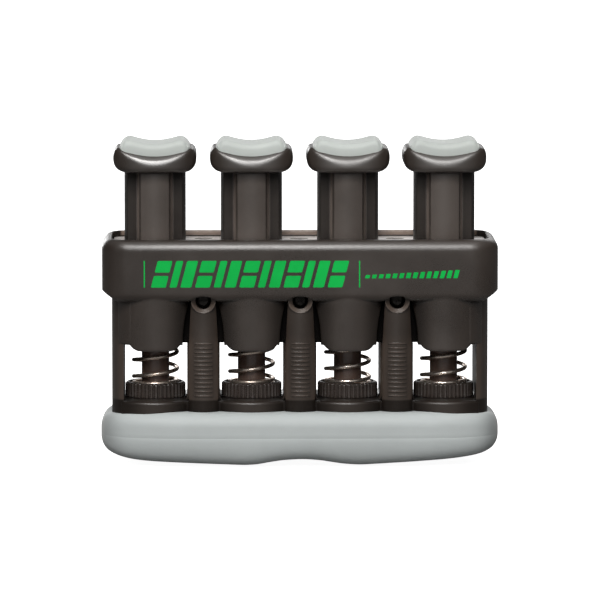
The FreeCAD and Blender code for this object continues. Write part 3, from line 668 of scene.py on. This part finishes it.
# ------------------------------------------------------------------ the columns' faces between their two top ribs
def column_inlays():
    """Fine curved skins that close the coarse facets between the two top grip ribs."""
    verts, faces = [], []
    turn = [math.radians(-33 + 66 * i / 24) for i in range(25)]
    rise = [25.36, 25.41, 25.5, 25.65, 25.8, 25.95, 26.07, 26.12]
    for x in (-PITCH, 0.0, PITCH):
        for sy in (-1, 1):
            base = len(verts)
            for layer in (0, 1):
                for j, z in enumerate(rise):
                    for i, a in enumerate(turn):
                        rim = i in (0, len(turn) - 1) or j in (0, len(rise) - 1)
                        r = 3.72 if layer else (3.95 if rim else 4.014)
                        verts.append((x + r * math.sin(a), sy * (8.1 + r * math.cos(a)), z))
            cols, size = len(turn), len(turn) * len(rise)
            spot = lambda layer, j, i: base + layer * size + j * cols + i
            for j in range(len(rise) - 1):
                for i in range(cols - 1):
                    faces.append((spot(0, j, i), spot(0, j, i + 1), spot(0, j + 1, i + 1), spot(0, j + 1, i)))
                    faces.append((spot(1, j, i), spot(1, j + 1, i), spot(1, j + 1, i + 1), spot(1, j, i + 1)))
            top = len(rise) - 1
            edge = [(0, i) for i in range(cols - 1)] + [(j, cols - 1) for j in range(top)]
            edge += [(top, i) for i in range(cols - 1, 0, -1)] + [(j, 0) for j in range(top, 0, -1)]
            for p, q in zip(edge, edge[1:] + edge[:1]):
                faces.append((spot(0, *p), spot(1, *p), spot(1, *q), spot(0, *q)))
    o = make("column_inlays", verts, faces, mat_frame)
    bm = bmesh.new()
    bm.from_mesh(o.data)
    bmesh.ops.recalc_face_normals(bm, faces=bm.faces)
    bm.to_mesh(o.data)
    bm.free()
    o.data.set_sharp_from_angle(angle=math.radians(50))
    return o


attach(column_inlays(), "root")


# ------------------------------------------------------------------ printed marks on the front of the housing
def ink():
    """Pad-printed ink: nearly opaque, pinholed, a little uneven."""
    k = Mat("print_ink", (0.0, 0.56, 0.07), 0.5, Specular_IOR_Level=0.2)
    slow = k.noise(120, 3, 0.6)
    fine = k.noise(2600, 3, 0.6)
    pin = k.span(k.noise(5200, 2, 0.5), 0.74, 0.80, 0, 1)
    col = k.mix(k.span(slow, 0.3, 0.7, 0, 1), (0.0, 0.42, 0.062), (0.0, 0.485, 0.073))
    col = k.mix(k.math("MULTIPLY", pin, 0.45), col, (0.01, 0.16, 0.04))
    k.set("Base Color", col)
    k.set("Roughness", k.span(slow, 0.3, 0.7, 0.42, 0.56))
    k.set("Normal", k.bump(fine, 0.006 * MM, 0.8))
    return k


mat_ink = ink()
z_lo, z_hi = 38.20, 43.80
lean = 0.26


def mark(shapes, name):
    """Thin raised polygons on the front face, in (x, z)."""
    verts, faces = [], []
    y_back, y_front = FRONT_Y - 0.004, FRONT_Y - 0.035
    for shape in shapes:
        n, base = len(shape), len(verts)
        verts += [(x, y_front, z) for x, z in shape] + [(x, y_back, z) for x, z in shape]
        faces.append(tuple(base + i for i in range(n)))
        faces.append(tuple(base + n + i for i in range(n))[::-1])
        faces += [(base + i, base + n + i, base + n + (i + 1) % n, base + (i + 1) % n) for i in range(n)]
    o = make(name, verts, faces, mat_ink, smooth=False)
    bm = bmesh.new()
    bm.from_mesh(o.data)
    bmesh.ops.recalc_face_normals(bm, faces=bm.faces)
    bm.to_mesh(o.data)
    bm.free()
    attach(o, "root")
    return o


def slant(x0, x1, z0=z_lo, z1=z_hi, r=0.28):
    """A leaning bar with softened corners."""
    pts = []
    corners = [(x0, z0), (x1, z0), (x1 + lean * (z1 - z0), z1), (x0 + lean * (z1 - z0), z1)]
    for i, (cx, cz) in enumerate(corners):
        px, pz = corners[i - 1]
        qx, qz = corners[(i + 1) % 4]
        a = Vector((px - cx, pz - cz)).normalized() * r
        b = Vector((qx - cx, qz - cz)).normalized() * r
        for t in (0.0, 0.33, 0.67, 1.0):
            p = a * (1 - t) ** 2 + b * t**2
            pts.append((cx + p.x, cz + p.y))
    return pts


shapes = []
# a rhythm of leaning bars, some of them split, between two thin rules
x, k = -31.3, 0
widths = [3.1, 1.5, 2.3, 3.1, 1.5, 2.3, 3.1, 1.5, 2.3, 3.1, 1.5, 2.3, 3.1, 1.5]
for k, w in enumerate(widths):
    if x + w > 9.6:
        break
    zm = (z_lo + z_hi) / 2
    if k % 3 == 0:
        shapes.append(slant(x, x + w, z_lo, zm - 0.35))
        off = lean * (zm + 0.35 - z_lo)
        shapes.append(slant(x + off, x + w + off, zm + 0.35, z_hi))
    else:
        shapes.append(slant(x, x + w))
    x += w + 0.78
mark(shapes, "front_print_bars")
mark([[(-32.78, z_lo), (-32.52, z_lo), (-32.52, z_hi), (-32.78, z_hi)],
      [(12.24, z_lo), (12.50, z_lo), (12.50, z_hi), (12.24, z_hi)]], "front_print_rules")
steps = []
for k in range(14):
    x0 = 13.5 + k * 1.42
    steps.append(slant(x0, x0 + 0.92, 40.1, 40.1 + 0.62 + 1.1 * (k + 1) / 14, 0.10))
mark(steps, "front_print_steps")


# ------------------------------------------------------------------ springs
WIRE, MEAN_R, STEP = 0.86, 4.605, 3.5
SEAT_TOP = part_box("spring_seat_1")[1].z / MM
CEILING = 42.2
SPLIT = 25.1
LEFT_LOW = {1: 18.1, 2: 19.1, 3: 19.65, 4: 18.3}     # height of each spring's lowest free coil on its left side


def spring_line(n):
    """Points of one right-handed closed-end spring, from the seat up."""
    z0, z1 = SEAT_TOP + WIRE / 2 + 0.02, CEILING - WIRE / 2 - 0.02
    closed = 0.885
    # turns of closed coil at each end, then the free pitch, eased in
    ease = 0.55

    def rise(t, total):
        def bottom(s):
            # integral of a smooth step from closed pitch to free pitch starting at 0.8 turn
            a = (s - 0.8) / ease
            if a <= 0:
                return 0.0
            if a >= 1:
                return ease * 0.5 + (s - 0.8 - ease)
            return ease * (a**3 - a**4 / 2)
        full = z1 - z0
        free = bottom(t) - bottom_end(t, total)
        return z0 + closed * t + (STEP - closed) * free

    def bottom_end(t, total):
        s = total - t
        # what the closed top coil takes away
        a = (0.8 + ease - s) / ease
        if a <= 0:
            return 0.0
        if a >= 1:
            return ease * 0.5 + (a - 1) * ease
        return ease * (a**3 - a**4 / 2)

    lo, hi = 2.0, 20.0
    for _ in range(60):
        total = (lo + hi) / 2
        if rise(total, total) < z1:
            lo = total
        else:
            hi = total
    total = (lo + hi) / 2
    # turn the spring so that its lowest free coil passes the left side at the given height
    a, b = 0.0, total
    for _ in range(60):
        m = (a + b) / 2
        if rise(m, total) < LEFT_LOW[n]:
            a = m
        else:
            b = m
    phase = math.pi - 2 * math.pi * a
    out = []
    per_turn = 64
    count = int(total * per_turn)
    for i in range(count + 1):
        t = total * i / count
        ang = phase + 2 * math.pi * t
        r = MEAN_R
        out.append((FX[n - 1] + r * math.cos(ang), r * math.sin(ang), rise(t, total)))
    return out


def tube(name, line, radius, k, sides=14, z_from=-1e9, z_to=1e9, cut_start=False, cut_end=False):
    """A round wire along a fine polyline. Ends are closed with a small dome, or flat where two pieces meet."""
    pts = [p for p in line if z_from <= p[2] <= z_to]
    P = np.array(pts, float)
    T = np.gradient(P, axis=0)
    T /= np.linalg.norm(T, axis=1)[:, None]
    verts, faces = [], []
    axis_xy = np.array([P[:, 0].max() + P[:, 0].min(), P[:, 1].max() + P[:, 1].min()]) / 2
    centre_x = FX[int(np.argmin([abs(axis_xy[0] - f) for f in FX]))]
    rings = []

    def ring(p, t, rad):
        out = np.array([p[0] - centre_x, p[1], 0.0])
        out -= t * (out @ t)
        out /= np.linalg.norm(out)
        side = np.cross(t, out)
        base = len(verts)
        for j in range(sides):
            a = 2 * math.pi * j / sides
            verts.append(tuple(p + rad * (math.cos(a) * out + math.sin(a) * side)))
        rings.append(base)

    if not cut_start:
        for s in (0.93, 0.62):
            ring(P[0] - T[0] * radius * s * 0.55, T[0], radius * math.sqrt(1 - s * s))
    for p, t in zip(P, T):
        ring(p, t, radius)
    if not cut_end:
        for s in (0.62, 0.93):
            ring(P[-1] + T[-1] * radius * s * 0.55, T[-1], radius * math.sqrt(1 - s * s))
    for a, b in zip(rings, rings[1:]):
        for j in range(sides):
            j2 = (j + 1) % sides
            faces.append((a + j, a + j2, b + j2, b + j))
    faces.append(tuple(rings[0] + j for j in range(sides))[::-1])
    faces.append(tuple(rings[-1] + j for j in range(sides)))
    o = make(name, verts, faces, k)
    return o


for n in range(1, 5):
    line = spring_line(n)
    lower = tube("spring_lower_%d" % n, line, WIRE / 2, mat_spring, z_to=SPLIT, cut_end=True)
    upper = tube("spring_upper_%d" % n, line, WIRE / 2, mat_spring, z_from=SPLIT, cut_start=True)
    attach(lower, "seat_%d" % n)
    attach(upper, "plunger_%d" % n)
    for o in (lower, upper):
        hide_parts("spring_%d" % n)
    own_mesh(lower)
    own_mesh(upper)


# ------------------------------------------------------------------ floor and light
def seen_by_camera(tree):
    return tree.nodes.new("ShaderNodeLightPath").outputs["Is Camera Ray"]


floor_mat = bpy.data.materials.new("floor")
floor_mat.use_nodes = True
ft = floor_mat.node_tree
ft.nodes.clear()
f_out = ft.nodes.new("ShaderNodeOutputMaterial")
f_cam, f_low = ft.nodes.new("ShaderNodeBsdfDiffuse"), ft.nodes.new("ShaderNodeBsdfDiffuse")
f_cam.inputs["Color"].default_value = (0.9, 0.9, 0.9, 1)
f_low.inputs["Color"].default_value = (0.20, 0.20, 0.20, 1)
f_glow, f_sum, f_mix = (ft.nodes.new("ShaderNodeEmission"), ft.nodes.new("ShaderNodeAddShader"), ft.nodes.new("ShaderNodeMixShader"))
f_glow.inputs["Strength"].default_value = 0.95
ft.links.new(f_cam.outputs[0], f_sum.inputs[0])
ft.links.new(f_glow.outputs[0], f_sum.inputs[1])
ft.links.new(seen_by_camera(ft), f_mix.inputs[0])
ft.links.new(f_low.outputs[0], f_mix.inputs[1])
ft.links.new(f_sum.outputs[0], f_mix.inputs[2])
ft.links.new(f_mix.outputs[0], f_out.inputs[0])
bm = bmesh.new()
bmesh.ops.create_grid(bm, x_segments=8, y_segments=8, size=8.0)
me = bpy.data.meshes.new("floor")
bm.to_mesh(me)
bm.free()
me.materials.append(floor_mat)
floor = bpy.data.objects.new("floor", me)
floor.location = (0, 0, -0.00005)
scene.collection.objects.link(floor)

# a pale studio: white to the camera, bright above and in front, dim at the sides and behind
world = bpy.data.worlds.new("studio")
scene.world = world
world.use_nodes = True
wt = world.node_tree
bg = wt.nodes["Background"]
co = wt.nodes.new("ShaderNodeTexCoord").outputs["Generated"]
sep = wt.nodes.new("ShaderNodeSeparateXYZ")
wt.links.new(co, sep.inputs[0])


def ramp(value, a, b, c, d):
    n = wt.nodes.new("ShaderNodeMapRange")
    n.interpolation_type = "SMOOTHSTEP"
    wt.links.new(value, n.inputs["Value"])
    for key, v in (("From Min", a), ("From Max", b), ("To Min", c), ("To Max", d)):
        n.inputs[key].default_value = v
    return n.outputs[0]


def wmath(op, a, b):
    n = wt.nodes.new("ShaderNodeMath")
    n.operation = op
    for i, v in enumerate((a, b)):
        if isinstance(v, bpy.types.NodeSocket):
            wt.links.new(v, n.inputs[i])
        else:
            n.inputs[i].default_value = v
    return n.outputs[0]


up = ramp(sep.outputs["Z"], 0.25, 0.95, 0.0, 0.24)
ahead = ramp(sep.outputs["Y"], -0.35, -0.95, 0.0, 0.16)
behind = wmath("MULTIPLY", ramp(sep.outputs["Y"], 0.82, 0.97, 0.0, 0.85), ramp(sep.outputs["Z"], 0.42, 0.12, 0.0, 1.0))
light = wmath("ADD", wmath("ADD", wmath("ADD", up, ahead), behind), 0.045)
white = wmath("MAXIMUM", light, wmath("MULTIPLY", seen_by_camera(wt), 1.05))
wt.links.new(white, bg.inputs["Strength"])
bg.inputs["Color"].default_value = (1, 1, 1, 1)


def area(name, at, to, size, power, color=(1, 1, 1)):
    d = bpy.data.lights.new(name, "AREA")
    d.shape = "RECTANGLE"
    d.size, d.size_y = size
    d.energy = power
    d.color = color
    o = bpy.data.objects.new(name, d)
    scene.collection.objects.link(o)
    o.location = at
    o.rotation_mode = "QUATERNION"
    o.rotation_quaternion = (Vector(to) - Vector(at)).to_track_quat("-Z", "Y")
    return o


area("key_box", (-0.14, -0.70, 0.75), (0, 0, 0.045), (0.50, 0.28), 6.9, (1.0, 0.975, 0.95))
area("top_box", (0.0, -0.10, 0.80), (0, 0, 0.04), (0.60, 0.30), 0.6, (1.0, 0.985, 0.97))
area("front_box", (-0.06, -1.05, 0.56), (0, 0, 0.035), (0.35, 0.35), 4.0, (1.0, 0.99, 0.98))
area("left_box", (-0.85, -0.60, 0.30), (0, 0, 0.035), (0.25, 0.6), 0.15)
area("back_box", (0.25, 0.9, 0.55), (0, 0, 0.04), (0.5, 0.4), 1.7)
area("back_fill", (-0.40, 1.0, 0.20), (0, 0, 0.03), (0.4, 0.3), 1.6)
